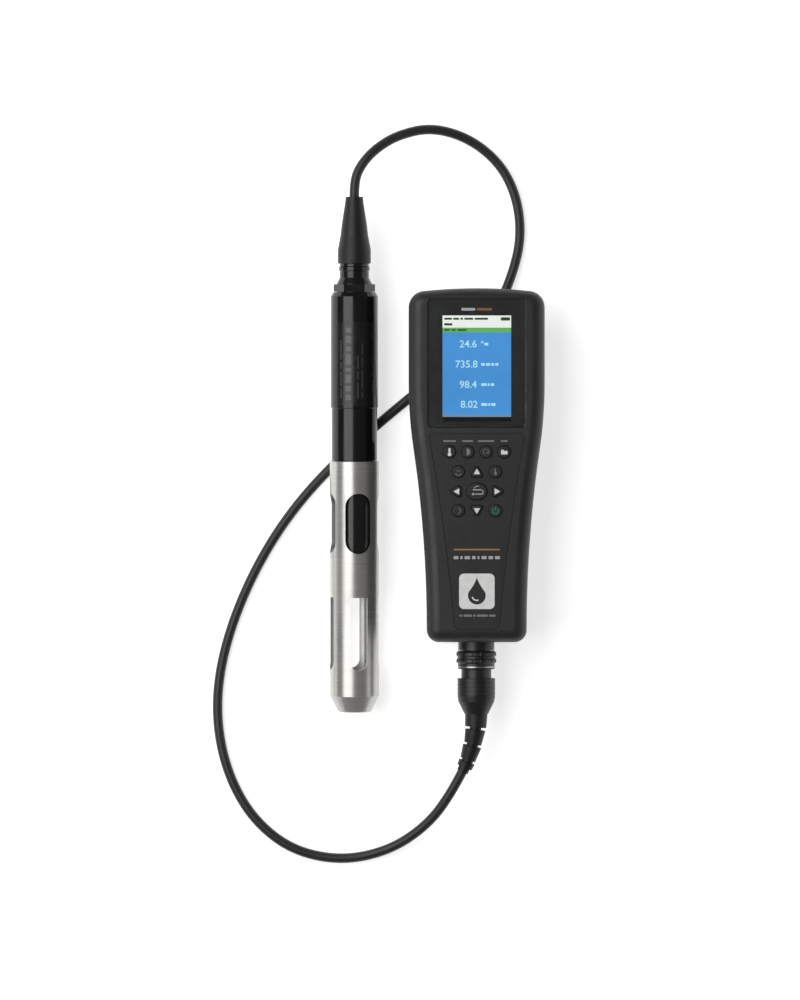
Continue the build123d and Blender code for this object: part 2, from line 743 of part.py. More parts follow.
with BuildPart() as sensor_module:
    revolve(
        probe_profile(
            (0, 88.5), (8.5, 88.5), (8.5, 96.7), (11.4, 96.7), (12.0, 97.5), (12.0, 139.8), (9.1, 139.8),
            (9.1, 143.0), (7.9, 143.0), (7.9, 145.2), (9.1, 145.2), (9.1, 150.0), (0, 150.0),
        ),
        axis=probe_axis,
    )
save(sensor_module, "sensor_module")

with BuildPart() as sensor_cap:
    revolve(
        probe_profile(
            (6.0, 84.7), (9.4, 84.7), (10.0, 85.3), (10.0, 96.4), (8.7, 96.4), (8.7, 87.0), (6.0, 87.0)
        ),
        axis=probe_axis,
    )
save(sensor_cap, "sensor_cap")

with BuildPart() as sensing_foil:
    revolve(probe_profile((0, 85.1), (5.95, 85.1), (5.95, 86.6), (0, 86.6)), axis=probe_axis)
save(sensing_foil, "sensing_foil")

with BuildPart() as thermistor_pin:
    with BuildSketch(probe_section(86.2)):
        with Locations((-11.2 * sin(radians(30)), 11.2 * cos(radians(30)))):
            Circle(0.75)
    extrude(amount=10.5)
save(thermistor_pin, "thermistor_pin")

with BuildPart() as module_oring:
    revolve(probe_profile((7.95, 143.05), (9.25, 143.4), (9.25, 144.8), (7.95, 145.15)), axis=probe_axis)
save(module_oring, "module_oring")

with BuildPart() as probe_body:
    revolve(
        probe_profile(
            (9.3, 140.0), (12.4, 140.0), (12.6, 140.4), (12.6, 148.0), (11.2, 148.0), (11.2, 150.4),
            (12.6, 150.4), (12.6, 154.6), (13.7, 154.6), (14.0, 154.9), (14.0, 186.8), (14.5, 187.2),
            (14.5, 188.2), (14.3, 188.2), (14.3, 239.8), (14.5, 239.8), (14.5, 255.4), (12.9, body_end),
            (10.5, body_end), (10.5, 158.0), (9.3, 156.0),
        ),
        axis=probe_axis,
    )
save(probe_body, "probe_body")

with BuildPart() as guard_oring:
    revolve(probe_profile((11.25, 148.1), (12.7, 148.5), (12.7, 149.9), (11.25, 150.3)), axis=probe_axis)
save(guard_oring, "guard_oring")

with BuildPart() as probe_label:
    revolve(probe_profile((14.3, 188.3), (14.48, 188.3), (14.48, 239.7), (14.3, 239.7)), axis=probe_axis)
save(probe_label, "probe_label")

with BuildPart() as probe_board:
    with BuildSketch(probe_section(160)):
        Rectangle(17, 1.6)
    extrude(amount=82)
    with BuildSketch(probe_section(170)):
        with Locations((0, 1.8)):
            Rectangle(9, 2)
    extrude(amount=12)
    with BuildSketch(probe_section(195)):
        with Locations((0, 1.55)):
            Rectangle(11, 1.5)
    extrude(amount=20)
save(probe_board, "probe_board")

with BuildPart() as probe_neck:
    revolve(
        probe_profile(
            (0, 246.0), (10.3, 246.0), (10.3, 250.0), (9.0, 250.0), (9.0, 252.2), (10.3, 252.2),
            (10.3, body_end), (10.9, body_end), (10.9, 263.0), (9.0, 266.9), (9.0, 270.8),
            (9.5, 271.2), (9.5, 273.4), (9.0, 273.8), (9.0, neck_end), (0, neck_end),
        ),
        axis=probe_axis,
    )
    # a hexagon for a wrench
    with BuildSketch(probe_section(body_end + 0.2)):
        RegularPolygon(12.7, 6)
    extrude(amount=4.6)
save(probe_neck, "probe_neck")

with BuildPart() as neck_oring:
    revolve(probe_profile((9.05, 250.1), (10.4, 250.4), (10.4, 251.8), (9.05, 252.1)), axis=probe_axis)
save(neck_oring, "neck_oring")

with BuildPart() as probe_boot:
    revolve(
        probe_profile(
            (0, neck_end), (9.8, neck_end), (10.1, 275.9), (10.1, 284.0), (8.4, 293.0), (7.7, 299.4),
            (5.6, 313.0), (5.3, boot_end), (0, boot_end),
        ),
        axis=probe_axis,
    )
save(probe_boot, "probe_boot")

# ---------------------------------------------------------------- cable
# from the plug's strain relief, round the table, under the probe and the meter's head, to the probe
route = [
    plug_boot_end,
    plug_boot_end + plug_boot_heading * 17,
    (-6.3, -208.0, 12.5),
    (-29.0, -223.5, 5.5),
    (-58.5, -230.0, 3.0),
    (-88.5, -223.8, 3.0),
    (-111.0, -206.7, 3.0),
    (-125.7, -183.8, 3.0),
    (-134.2, -156.0, 3.0),
    (-135.7, -126.0, 3.0),
    (-129.8, -94.7, 3.0),
    (-117.8, -62.3, 3.0),
    (-101.5, -31.8, 3.0),
    (-82.0, -5.0, 3.0),
    (-57.5, 20.5, 3.0),
    (-33.0, 42.0, 3.0),
    (-8.0, 62.5, 3.0),
    (16.0, 83.5, 3.0),
    (36.0, 105.5, 3.0),
    (48.7, 136.8, 3.0),
    (52.2, 158.6, 3.0),
    (48.9, 180.9, 3.0),
    (38.9, 200.2, 4.5),
    (20.3, 215.2, 8.5),
    (-3.2, 221.8, 14.5),
    (-24.7, 216.4, 20.5),
    (-38.7, 207.1, 24.8),
    (-47.0, 197.2, 27.0),
    probe_tip + probe_along * (boot_end + 9.5),
    probe_tip + probe_along * boot_end,
]
route = [Vector(*point) if isinstance(point, tuple) else point for point in route]
runs = [after - before for before, after in zip(route, route[1:])]
corner_radii = []
for before, after in zip(runs, runs[1:]):
    corner_turn = radians(before.get_angle(after))
    corner_radii.append(0.45 * min(before.length, after.length) / tan(corner_turn / 2))

with BuildLine() as cable_path:
    FilletPolyline(*route, radius=corner_radii)

with BuildPart() as cable:
    with BuildSketch(Plane(route[0], z_dir=runs[0])):
        Circle(cable_radius)
    sweep(path=cable_path.line)
save(cable, "cable")

cable_length = sum(edge.length for edge in cable_path.line.edges())
print("runs", [round(run.length) for run in runs])
print("turns", [round(before.get_angle(after)) for before, after in zip(runs, runs[1:])])
print("radii", [round(radius) for radius in corner_radii])
print("cable length", round(cable_length, 1))
print("cable volume over section times length", cable.part.volume / (pi * cable_radius**2 * cable_length))
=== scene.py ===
"""Looks of a handheld water quality meter with its cabled probe, laid out on a pale table.

Metres, +Z up, in the CAD model's own frame: +Y runs from the meter's connector end to its display
end, the meter lies at +X and the probe beside it at -X. Sizes inside the drawing helpers are in
millimetres across and along the face that they are drawn on.
"""

import json
import math

import bpy
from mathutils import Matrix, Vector


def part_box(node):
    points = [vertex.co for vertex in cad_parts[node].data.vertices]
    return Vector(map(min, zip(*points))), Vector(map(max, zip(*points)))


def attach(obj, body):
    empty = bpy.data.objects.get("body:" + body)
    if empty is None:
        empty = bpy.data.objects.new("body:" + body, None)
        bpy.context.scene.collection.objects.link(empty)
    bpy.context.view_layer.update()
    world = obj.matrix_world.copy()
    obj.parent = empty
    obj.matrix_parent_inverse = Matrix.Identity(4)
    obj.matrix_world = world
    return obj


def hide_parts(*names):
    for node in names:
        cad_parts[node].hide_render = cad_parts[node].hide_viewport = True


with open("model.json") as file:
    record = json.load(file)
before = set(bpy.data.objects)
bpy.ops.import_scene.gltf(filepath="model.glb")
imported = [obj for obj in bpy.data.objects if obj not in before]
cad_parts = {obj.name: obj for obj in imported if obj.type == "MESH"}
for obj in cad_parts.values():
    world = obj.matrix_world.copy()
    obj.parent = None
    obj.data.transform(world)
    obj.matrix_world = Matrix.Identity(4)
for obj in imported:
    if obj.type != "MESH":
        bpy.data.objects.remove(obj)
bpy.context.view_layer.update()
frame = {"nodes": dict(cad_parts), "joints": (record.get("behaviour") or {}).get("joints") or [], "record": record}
nodes = frame["nodes"]
MM = 0.001


# ---------------------------------------------------------------- camera
def make_camera():
    """Looks straight down from far off, so that heights hardly change the scale."""
    height = 4.0
    view_centre = (-0.0226, -0.0075)
    view_length = 0.6154  # the picture's long side, at the height given next
    middle_z = 0.012
    camera = bpy.data.objects.new("camera", bpy.data.cameras.new("camera"))
    camera.data.sensor_width = 36.0
    camera.data.lens = camera.data.sensor_width * (height - middle_z) / view_length
    camera.data.clip_end = 5 * height
    camera.location = (*view_centre, height)
    bpy.context.scene.collection.objects.link(camera)
    bpy.context.scene.camera = camera


make_camera()

# ---------------------------------------------------------------- cable
cable_diameter = 0.006
# The CAD cable's own route, from the plug's strain relief to the probe's.
cable_route = [
    (0.01576, -0.17404, 0.02139),
    (0.00812, -0.18904, 0.01902),
    (-0.0063, -0.2080, 0.0125),
    (-0.0290, -0.2235, 0.0055),
    (-0.0585, -0.2300, 0.0030),
    (-0.0885, -0.2238, 0.0030),
    (-0.1110, -0.2067, 0.0030),
    (-0.1257, -0.1838, 0.0030),
    (-0.1342, -0.1560, 0.0030),
    (-0.1357, -0.1260, 0.0030),
    (-0.1298, -0.0947, 0.0030),
    (-0.1178, -0.0623, 0.0030),
    (-0.1015, -0.0318, 0.0030),
    (-0.0820, -0.0050, 0.0030),
    (-0.0575, 0.0205, 0.0030),
    (-0.0330, 0.0420, 0.0030),
    (-0.0080, 0.0625, 0.0030),
    (0.0160, 0.0835, 0.0030),
    (0.0360, 0.1055, 0.0030),
    (0.0487, 0.1368, 0.0030),
    (0.0522, 0.1586, 0.0030),
    (0.0489, 0.1809, 0.0030),
    (0.0389, 0.2002, 0.0045),
    (0.0203, 0.2152, 0.0085),
    (-0.0032, 0.2218, 0.0145),
    (-0.0247, 0.2164, 0.0205),
    (-0.0387, 0.2071, 0.0248),
    (-0.0470, 0.1972, 0.0270),
    (-0.0506, 0.18784, 0.02776),
    (-0.0506, 0.17835, 0.02738),
]


def make_cable():
    """The jacketed cable, from the plug's strain relief to the probe's."""
    curve = bpy.data.curves.new("cable_jacket", "CURVE")
    curve.dimensions = "3D"
    curve.bevel_depth = 1.0  # times each point's radius, which the curve's own box counts too
    curve.bevel_resolution = 6
    curve.resolution_u = 10
    curve.use_fill_caps = True
    spline = curve.splines.new("NURBS")
    spline.points.add(len(cable_route) - 1)
    for point, place in zip(spline.points, cable_route):
        point.co = (*place, 1.0)
        point.radius = cable_diameter / 2
    spline.order_u = 3
    spline.use_endpoint_u = True
    cable = bpy.data.objects.new("cable_jacket", curve)
    bpy.context.scene.collection.objects.link(cable)
    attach(cable, "root")
    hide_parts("cable")
    return cable


cable_jacket = make_cable()


# ---------------------------------------------------------------- materials
class Look:
    """One Principled material, and short ways to give it colour, gloss and relief."""

    def __init__(self, name, **constants):
        self.material = bpy.data.materials.new(name)
        self.material.use_nodes = True
        self.tree = self.material.node_tree
        self.shader = self.tree.nodes["Principled BSDF"]
        for socket, value in constants.items():
            self.shader.inputs[socket.replace("_", " ")].default_value = value

    def add(self, kind, inputs=None, **settings):
        """A new node with its settings, and its inputs set or linked."""
        node = self.tree.nodes.new(kind)
        for setting, value in settings.items():
            setattr(node, setting, value)
        for socket, value in (inputs or {}).items():
            if isinstance(value, bpy.types.NodeSocket):
                self.tree.links.new(value, node.inputs[socket])
            else:
                node.inputs[socket].default_value = value
        return node

    def link(self, socket, value):
        self.tree.links.new(value, self.shader.inputs[socket])

    def place(self):
        return self.add("ShaderNodeTexCoord").outputs["Object"]

    def noise(self, size, stretch=(1, 1, 1), detail=2.0):
        """Noise with blotches of about that size in metres, longer along a stretched axis."""
        scale = [1 / (size * share) for share in stretch]
        mapping = self.add("ShaderNodeMapping", {"Vector": self.place(), "Scale": scale})
        return self.add(
            "ShaderNodeTexNoise", {"Vector": mapping.outputs[0], "Scale": 1.0, "Detail": detail}
        ).outputs[0]

    def maths(self, operation, *values):
        return self.add("ShaderNodeMath", dict(enumerate(values)), operation=operation).outputs[0]

    def span(self, factor, low, high, start=0.3, stop=0.7):
        """A number that goes from low to high as factor goes from start to stop."""
        ranges = {"From Min": start, "From Max": stop, "To Min": low, "To Max": high}
        return self.add("ShaderNodeMapRange", {"Value": factor, **ranges}).outputs[0]

    def colours(self, factor, first, second, start=0.3, stop=0.7):
        """A colour that goes from first to second as factor goes from start to stop."""
        ramp = self.add("ShaderNodeValToRGB", {"Fac": factor})
        stops = zip(ramp.color_ramp.elements, (start, stop), (first, second))
        for element, place, colour in stops:
            element.position = place
            element.color = (*colour, 1)
        return ramp.outputs[0]

    def relief(self, height, depth):
        """Bumps as high as depth in metres where height goes from 0 to 1."""
        bump = self.add("ShaderNodeBump", {"Height": height, "Distance": depth, "Strength": 1.0})
        self.link("Normal", bump.outputs[0])


def shade(colour, share):
    """A lighter or darker form of a colour."""
    return tuple(min(1.0, part * share) for part in colour)


def moulded(name, colour, roughness, grain=0.0004, depth=0.00003, uneven=0.12):
    """Moulded plastic or rubber: a fine grain, and gloss and colour that are slightly uneven."""
    look = Look(name)
    patches = look.noise(25 * grain)
    speckle = look.noise(grain)
    both = look.span(look.maths("ADD", patches, speckle), 0, 1, 0.6, 1.4)
    darker, lighter = shade(colour, 1 - uneven), shade(colour, 1 + uneven)
    look.link("Base Color", look.colours(both, darker, lighter, 0, 1))
    look.link("Roughness", look.span(patches, roughness - 0.05, roughness + 0.05))
    look.relief(speckle, depth)
    return look.material


def metal(name, colour, roughness):
    """Machined or plated metal, with a fine grain and handling marks."""
    look = Look(name, Metallic=1.0)
    grain = look.noise(0.0003, detail=3.0)
    patches = look.noise(0.008)
    look.link("Base Color", look.colours(grain, shade(colour, 0.86), shade(colour, 1.06)))
    both = look.maths("ADD", grain, patches)
    look.link("Roughness", look.span(both, roughness - 0.05, roughness + 0.06, 0.7, 1.3))
    look.relief(grain, 0.000004)
    return look.material


def brushed_steel():
    """The guard's stainless steel, brushed round its axis."""
    look = Look("guard_steel", Metallic=0.75, Anisotropic=0.4, Anisotropic_Rotation=0.25)
    darker, lighter = (0.50, 0.49, 0.465), (0.62, 0.61, 0.585)
    fine = look.noise(0.00012, (60, 1, 60), detail=4.0)
    broad = look.noise(0.0016, (20, 1, 20), detail=2.0)
    patches = look.noise(0.02)
    marks = look.span(look.maths("ADD", fine, broad), 0, 1, 0.6, 1.4)
    look.link("Base Color", look.colours(marks, darker, lighter, 0, 1))
    wear = look.maths("ADD", patches, fine)
    look.link("Roughness", look.span(wear, 0.27, 0.38, 0.7, 1.3))
    tangent = look.add("ShaderNodeTangent", direction_type="RADIAL", axis="Y")
    look.link("Tangent", tangent.outputs[0])
    look.relief(fine, 0.000004)
    return look.material


def black_plating():
    """The coupling ring's black finish, with bare metal showing through where fingers turn it."""
    look = Look("ring_black")
    plated, worn = (0.012, 0.012, 0.013), (0.05, 0.05, 0.05)
    patches = look.noise(0.0022, detail=4.0)
    scratches = look.noise(0.0003, (1, 6, 1), detail=3.0)
    look.link("Base Color", look.colours(patches, plated, worn, 0.5, 0.8))
    look.link("Metallic", look.span(patches, 0.0, 0.7, 0.6, 0.75))
    look.link("Roughness", look.span(scratches, 0.3, 0.42))
    look.relief(scratches, 0.00001)
    return look.material


def clear_glass():
    """The display's lens, with faint smears."""
    look = Look("lens_glass", IOR=1.5, Transmission_Weight=1.0)
    smears = look.noise(0.012, detail=3.0)
    look.link("Roughness", look.span(smears, 0.0, 0.03))
    look.link("Base Color", look.colours(smears, (0.96, 0.97, 0.97), (1.0, 1.0, 1.0)))
    return look.material


def printed(name, colour):
    """Screen-printed ink, a little thin in places."""
    return moulded(name, colour, 0.5, grain=0.00015, depth=0.000004, uneven=0.10)


def lit(name, colour):
    """A lit part of the display, with its pixels faintly visible."""
    black = (0.0, 0.0, 0.0, 1)
    pitch = 0.00024  # from one pixel of the display to the next
    look = Look(
        name, Base_Color=black, Roughness=0.4, Specular_IOR_Level=0.1, Emission_Strength=1.0
    )
    split = look.add("ShaderNodeSeparateXYZ", {"Vector": look.place()})
    waves = []
    for axis in ("X", "Y"):
        turn = look.maths("MULTIPLY", split.outputs[axis], 2 * math.pi / pitch)
        waves.append(look.maths("SINE", turn))
    grid = look.maths("MULTIPLY", look.maths("MULTIPLY", waves[0], waves[1]), 0.3)
    both = look.maths("ADD", grid, look.noise(0.02))
    darker, lighter = shade(colour, 0.93), shade(colour, 1.07)
    look.link("Emission Color", look.colours(both, darker, lighter, 0.1, 0.9))
    return look.material


def green_board():
    """A circuit board: green lacquer with tracks under it."""
    look = Look("board_green")
    pattern = {"Vector": look.place(), "Scale": 420.0, "Mortar Size": 0.02}
    copper = look.add("ShaderNodeTexBrick", pattern).outputs["Fac"]
    look.link("Base Color", look.colours(copper, (0.01, 0.10, 0.035), (0.03, 0.22, 0.09), 0, 1))
    look.link("Roughness", look.span(look.noise(0.006), 0.3, 0.4))
    look.relief(copper, 0.00003)
    return look.material


def pale_floor():
    """A white table top that glows a little, as a light table does."""
    look = Look("floor", Roughness=0.8, Emission_Strength=0.66, Emission_Color=(1, 1, 1, 1))
    darker, lighter = (0.90, 0.90, 0.90), (0.94, 0.94, 0.94)
    look.link("Base Color", look.colours(look.noise(0.03), darker, lighter))
    return look.material


looks = {
    "lens_glass": clear_glass(),
    "board_green": green_board(),
    "ring_metal": black_plating(),
    "probe_steel": brushed_steel(),
    "screen": moulded("screen_off", (0.012, 0.013, 0.016), 0.25, depth=0.000003),
}
# Plastic and rubber: colour, roughness, and the size and depth of the grain in metres.
moulded_looks = {
    "case_black": ((0.018, 0.018, 0.019), 0.46, 0.0005, 0.00005),
    "panel_black": ((0.014, 0.014, 0.015), 0.44, 0.0006, 0.00008),
    "mask_black": ((0.010, 0.010, 0.011), 0.35, 0.0004, 0.000003),
    "seal_rubber": ((0.020, 0.020, 0.020), 0.7, 0.0004, 0.00003),
    "key_rubber": ((0.014, 0.014, 0.015), 0.42, 0.0003, 0.00002),
    "power_rubber": ((0.011, 0.026, 0.023), 0.42, 0.0003, 0.00002),
    "buzzer_black": ((0.02, 0.02, 0.02), 0.5, 0.0004, 0.00003),
    "cover_black": ((0.018, 0.018, 0.019), 0.46, 0.0005, 0.00005),
    "battery_wrap": ((0.04, 0.10, 0.32), 0.3, 0.001, 0.00002),
    "flap_rubber": ((0.024, 0.024, 0.024), 0.6, 0.0004, 0.00003),
    "socket_metal": ((0.016, 0.016, 0.017), 0.32, 0.0002, 0.00001),
    "insulator_black": ((0.02, 0.02, 0.02), 0.45, 0.0004, 0.00003),
    "plug_black": ((0.010, 0.010, 0.010), 0.40, 0.0004, 0.00003),
    "boot_rubber": ((0.004, 0.004, 0.005), 0.50, 0.0004, 0.00003),
    "cable_black": ((0.020, 0.020, 0.021), 0.42, 0.0004, 0.00003),
    "sensor_black": ((0.008, 0.008, 0.008), 0.14, 0.0006, 0.000004),
    "cap_black": ((0.014, 0.014, 0.014), 0.2, 0.0006, 0.000004),
    "foil_dark": ((0.05, 0.01, 0.012), 0.2, 0.0004, 0.000004),
    "probe_black": ((0.004, 0.004, 0.004), 0.16, 0.0006, 0.000005),
    "label_satin": ((0.008, 0.008, 0.008), 0.26, 0.0002, 0.000004),
    "neck_black": ((0.005, 0.005, 0.005), 0.16, 0.0006, 0.000005),
}
for name, (colour, roughness, grain, depth) in moulded_looks.items():
    looks[name] = moulded(name, colour, roughness, grain, depth)
# Metals: colour and roughness.
metal_looks = {
    "dome_steel": ((0.7, 0.7, 0.68), 0.3),
    "screw_steel": ((0.58, 0.58, 0.57), 0.3),
    "brass_insert": ((0.75, 0.56, 0.24), 0.28),
    "socket_steel": ((0.6, 0.6, 0.6), 0.2),
    "clip_steel": ((0.50, 0.50, 0.49), 0.34),
    "contact_gold": ((0.85, 0.62, 0.25), 0.2),
}
for name, (colour, roughness) in metal_looks.items():
    looks[name] = metal(name, colour, roughness)

for subpart in frame["record"]["subparts"]:
    for slot in nodes[subpart["node"]].material_slots:
        slot.material = looks[subpart["material_slot"]]
cable_jacket.data.materials.append(looks["cable_black"])

ink_white = printed("ink_white", (0.86, 0.86, 0.85))
ink_bright = printed("ink_bright", (0.48, 0.48, 0.47))
ink_grey = printed("ink_grey", (0.22, 0.22, 0.22))
ink_dim = printed("ink_dim", (0.14, 0.14, 0.14))
ink_faint = printed("ink_faint", (0.045, 0.045, 0.045))
ink_orange = printed("ink_orange", (0.42, 0.22, 0.06))
ink_green = printed("ink_green", (0.04, 0.22, 0.16))


# ---------------------------------------------------------------- flat shapes, in millimetres
round_steps = 40  # sides of a full disc or ring
corner_steps = 6  # sides of one round corner


def arc_points(across, along, radius, start, stop, steps):
    turns = [math.radians(start + (stop - start) * step / steps) for step in range(steps + 1)]
    return [(across + radius * math.cos(turn), along + radius * math.sin(turn)) for turn in turns]


def rectangle(across, along, width, height, corner=0.0):
    """A rectangle with round corners, as one face."""
    if not corner:
        corners = ((-1, -1), (1, -1), (1, 1), (-1, 1))
        return [[(across + x * width / 2, along + y * height / 2) for x, y in corners]]
    points = []
    for x, y, start in ((1, 1, 0), (-1, 1, 90), (-1, -1, 180), (1, -1, 270)):
        corner_across = across + x * (width / 2 - corner)
        corner_along = along + y * (height / 2 - corner)
        points += arc_points(corner_across, corner_along, corner, start, start + 90, corner_steps)
    return [points]


def bars(start, along, lengths, height, gap, corner):
    """A row of round-cornered bars from a left end, in the place of a word or a line of them."""
    faces = []
    for length in lengths:
        faces += rectangle(start + length / 2, along, length, height, corner)
        start += length + gap
    return faces


def disc(across, along, radius, start=0, stop=360):
    points = arc_points(across, along, radius, start, stop, round_steps)
    return [points[:-1] if stop - start == 360 else points]


def band(outer, inner):
    """The faces between two outlines that have the same number of points."""
    return [[outer[i], outer[i + 1], inner[i + 1], inner[i]] for i in range(len(outer) - 1)]


def ring(across, along, radius, width, start=0, stop=360):
    outer = arc_points(across, along, radius + width / 2, start, stop, round_steps)
    inner = arc_points(across, along, radius - width / 2, start, stop, round_steps)
    return band(outer, inner)


def triangle(across, along, radius, turn):
    """A triangle with round corners, its point at that turn."""
    points = []
    corner = radius * 0.12
    reach = radius - 2 * corner
    for side in range(3):
        out = turn + 120 * side
        corner_across = across + reach * math.cos(math.radians(out))
        corner_along = along + reach * math.sin(math.radians(out))
        points += arc_points(corner_across, corner_along, corner, out - 60, out + 60, corner_steps)
    return [points]


def drop(across, along, radius):
    """A water drop: a round foot that runs up to a point."""
    foot = arc_points(across, along, radius, -205, 25, round_steps)
    side, shoulder = foot[-1][0] - across, foot[-1][1]
    tip = along + 2.1 * radius
    steps, hollow = 8, 1.4
    rise = [
        (side * (1 - step / steps) ** hollow, shoulder + (tip - shoulder) * step / steps)
        for step in range(1, steps)
    ]
    right = [(across + x, y) for x, y in rise]
    left = [(across - x, y) for x, y in reversed(rise)]
    return [foot + right + [(across, tip)] + left]


# ---------------------------------------------------------------- thin solids from flat shapes
def solid(name, faces, front, back, body, material):
    """A thin closed solid: front and back map a flat point to its place on either side."""
    places, numbers = [], {}

    def number(point):
        key = (round(point[0], 5), round(point[1], 5))
        if key not in numbers:
            numbers[key] = len(places)
            places.append(key)
        return numbers[key]

    loops = []
    for face in faces:
        loop = []
        for point in face:
            found = number(point)
            if found not in loop:
                loop.append(found)
        area = sum(
            places[a][0] * places[b][1] - places[b][0] * places[a][1]
            for a, b in zip(loop, loop[1:] + loop[:1])
        )
        loops.append(loop if area > 0 else loop[::-1])
    count = len(places)
    edges = {(a, b) for loop in loops for a, b in zip(loop, loop[1:] + loop[:1])}
    walls = [(a, a + count, b + count, b) for a, b in sorted(edges) if (b, a) not in edges]
    mesh = bpy.data.meshes.new(name)
    mesh.from_pydata(
        [front(*place) for place in places] + [back(*place) for place in places],
        [],
        loops + [[corner + count for corner in reversed(loop)] for loop in loops] + walls,
    )
    mesh.materials.append(material)
    piece = bpy.data.objects.new(name, mesh)
    bpy.context.scene.collection.objects.link(piece)
    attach(piece, body)
    return piece


meter_x = (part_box("display_lens")[0].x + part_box("display_lens")[1].x) / 2
meter_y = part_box("front_case")[0].y
print_thickness = 0.00004


def print_flat(name, faces, z, body, material, centre=(0.0, 0.0), thickness=print_thickness):
    """A printed mark on a level face of the meter, at height z, drawn round centre."""
    x0, y0 = meter_x + centre[0] * MM, meter_y + centre[1] * MM

    def front(across, along):
        return (x0 + across * MM, y0 + along * MM, z + thickness / 2)

    def back(across, along):
        return (x0 + across * MM, y0 + along * MM, z - thickness / 2)

    return solid(name, faces, front, back, body, material)


def text_faces(text, size, across, along):
    """The faces of a number in Blender's own typeface, that tall, from its left end."""
    curve = bpy.data.curves.new("number", "FONT")
    curve.body = text
    curve.size = size
    curve.offset = 0.012 * size
    curve.resolution_u = 3
    writer = bpy.data.objects.new("number", curve)
    mesh = bpy.data.meshes.new_from_object(writer)
    faces = [
        [(mesh.vertices[i].co.x + across, mesh.vertices[i].co.y + along) for i in polygon.vertices]
        for polygon in mesh.polygons
    ]
    bpy.data.objects.remove(writer)
    bpy.data.curves.remove(curve)
    bpy.data.meshes.remove(mesh)
    return faces


# ---------------------------------------------------------------- display
def make_display():
    """The lit screen under the lens: a header, a green strip and four readings on blue."""
    glass_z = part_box("lcd_module")[1].z
    layer = 0.00003
    half = 20.9
    low, line_low, field_low = 134.6, 137.4, 138.5
    strip_low, header_low, high = 188.9, 191.8, 199.2

    def show(name, faces, level, colour):
        z = glass_z + layer + level * layer
        print_flat(name, faces, z, "root", lit(name, colour), thickness=layer)

    def full_width(bottom, top):
        return rectangle(0, (bottom + top) / 2, 2 * half, top - bottom)

    show("screen_field", full_width(field_low, strip_low), 0, (0.062, 0.30, 0.70))
    show("screen_header", full_width(header_low, high), 0, (0.90, 0.95, 0.88))
    show("screen_strip", full_width(strip_low, header_low), 0, (0.13, 0.46, 0.11))
    show("screen_line", full_width(line_low, field_low), 0, (0.20, 0.27, 0.33))
    show("screen_edge", full_width(low, line_low), 0, (0.0, 0.0, 0.0))
    dark = bars(-19.8, high - 2.0, (4.6, 3.6, 1.6, 5.4, 8.2), 1.2, 0.8, 0.3)
    dark += rectangle(-17.4, high - 5.4, 5.0, 1.4, 0.3)
    dark += rectangle(17.4, high - 2.1, 5.6, 2.0, 0.4)
    show("screen_marks", dark, 1, (0.03, 0.05, 0.03))
    strip_marks = bars(-19.8, (strip_low + header_low) / 2, (3.4, 2.6, 5.6), 1.2, 1.0, 0.3)
    show("screen_strip_marks", strip_marks, 1, (0.01, 0.14, 0.02))
    readings = []
    for number, along, across in (
        ("24.6", 179.8, -10.6), ("735.8", 167.5, -13.2),
        ("98.4", 155.1, -10.6), ("8.02", 143.0, -10.0),
    ):
        readings += text_faces(number, 6.2, across, along)
    units = ring(3.3, 183.0, 0.6, 0.4) + bars(4.6, 181.8, (2.4,), 1.7, 0.6, 0.5)
    for along, lengths in (
        (169.4, (2.4, 2.6, 1.8, 2.0)), (157.1, (3.4, 1.2, 2.2)), (145.0, (3.8, 1.2, 2.6)),
    ):
        units += bars(2.6, along, lengths, 1.7, 0.6, 0.5)
    show("screen_readings", readings + units, 1, (0.42, 0.78, 1.0))
    mask_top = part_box("lens_mask")[1].z
    mask_thickness = 0.00012
    mask_middle = mask_top - 0.00008 - mask_thickness / 2
    mark_middle = mask_top - 0.00005
    window = (-half - 0.1, low - 0.2, half + 0.1, high + 0.2)
    mask = print_flat(
        "lens_print", rectangle_frame(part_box("lens_mask"), window), mask_middle,
        "root", looks["mask_black"], thickness=mask_thickness,
    )
    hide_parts("lens_mask")
    for name, faces, ink in (
        ("lens_mark_white", rectangle(-5.2, 203.0, 8.4, 1.7, 0.5), ink_white),
        ("lens_mark_orange", rectangle(4.6, 203.0, 9.4, 1.5, 0.5), ink_orange),
    ):
        print_flat(name, faces, mark_middle, "root", ink)


def rectangle_frame(box, window):
    """A round-cornered rectangle as wide as a node's box, with a square window in it."""
    low, high = box
    across = ((low.x - meter_x) / MM, (high.x - meter_x) / MM)
    along = ((low.y - meter_y) / MM, (high.y - meter_y) / MM)
    width, height = across[1] - across[0], along[1] - along[0]
    outer = rectangle(sum(across) / 2, sum(along) / 2, width, height, 2.5)[0]
    left, bottom, right, top = window
    faces = []
    quarter = len(outer) // 4
    corners = ((right, top), (left, top), (left, bottom), (right, bottom))
    for side in range(4):
        faces.append(outer[side * quarter:(side + 1) * quarter] + [corners[side]])
        last, after = outer[(side + 1) * quarter - 1], outer[(side + 1) * quarter % len(outer)]
        faces.append([last, after, corners[(side + 1) % 4], corners[side]])
    return faces


make_display()


# ---------------------------------------------------------------- keys and keypad
def key_centre(name):
    low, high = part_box(name)
    return ((low.x + high.x) / 2 - meter_x) / MM, ((low.y + high.y) / 2 - meter_y) / MM


def print_key(name, faces, material):
    """A mark on a key, which moves with it."""
    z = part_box(name)[1].z
    print_flat(f"{name}_mark", faces, z, name, material, centre=key_centre(name))


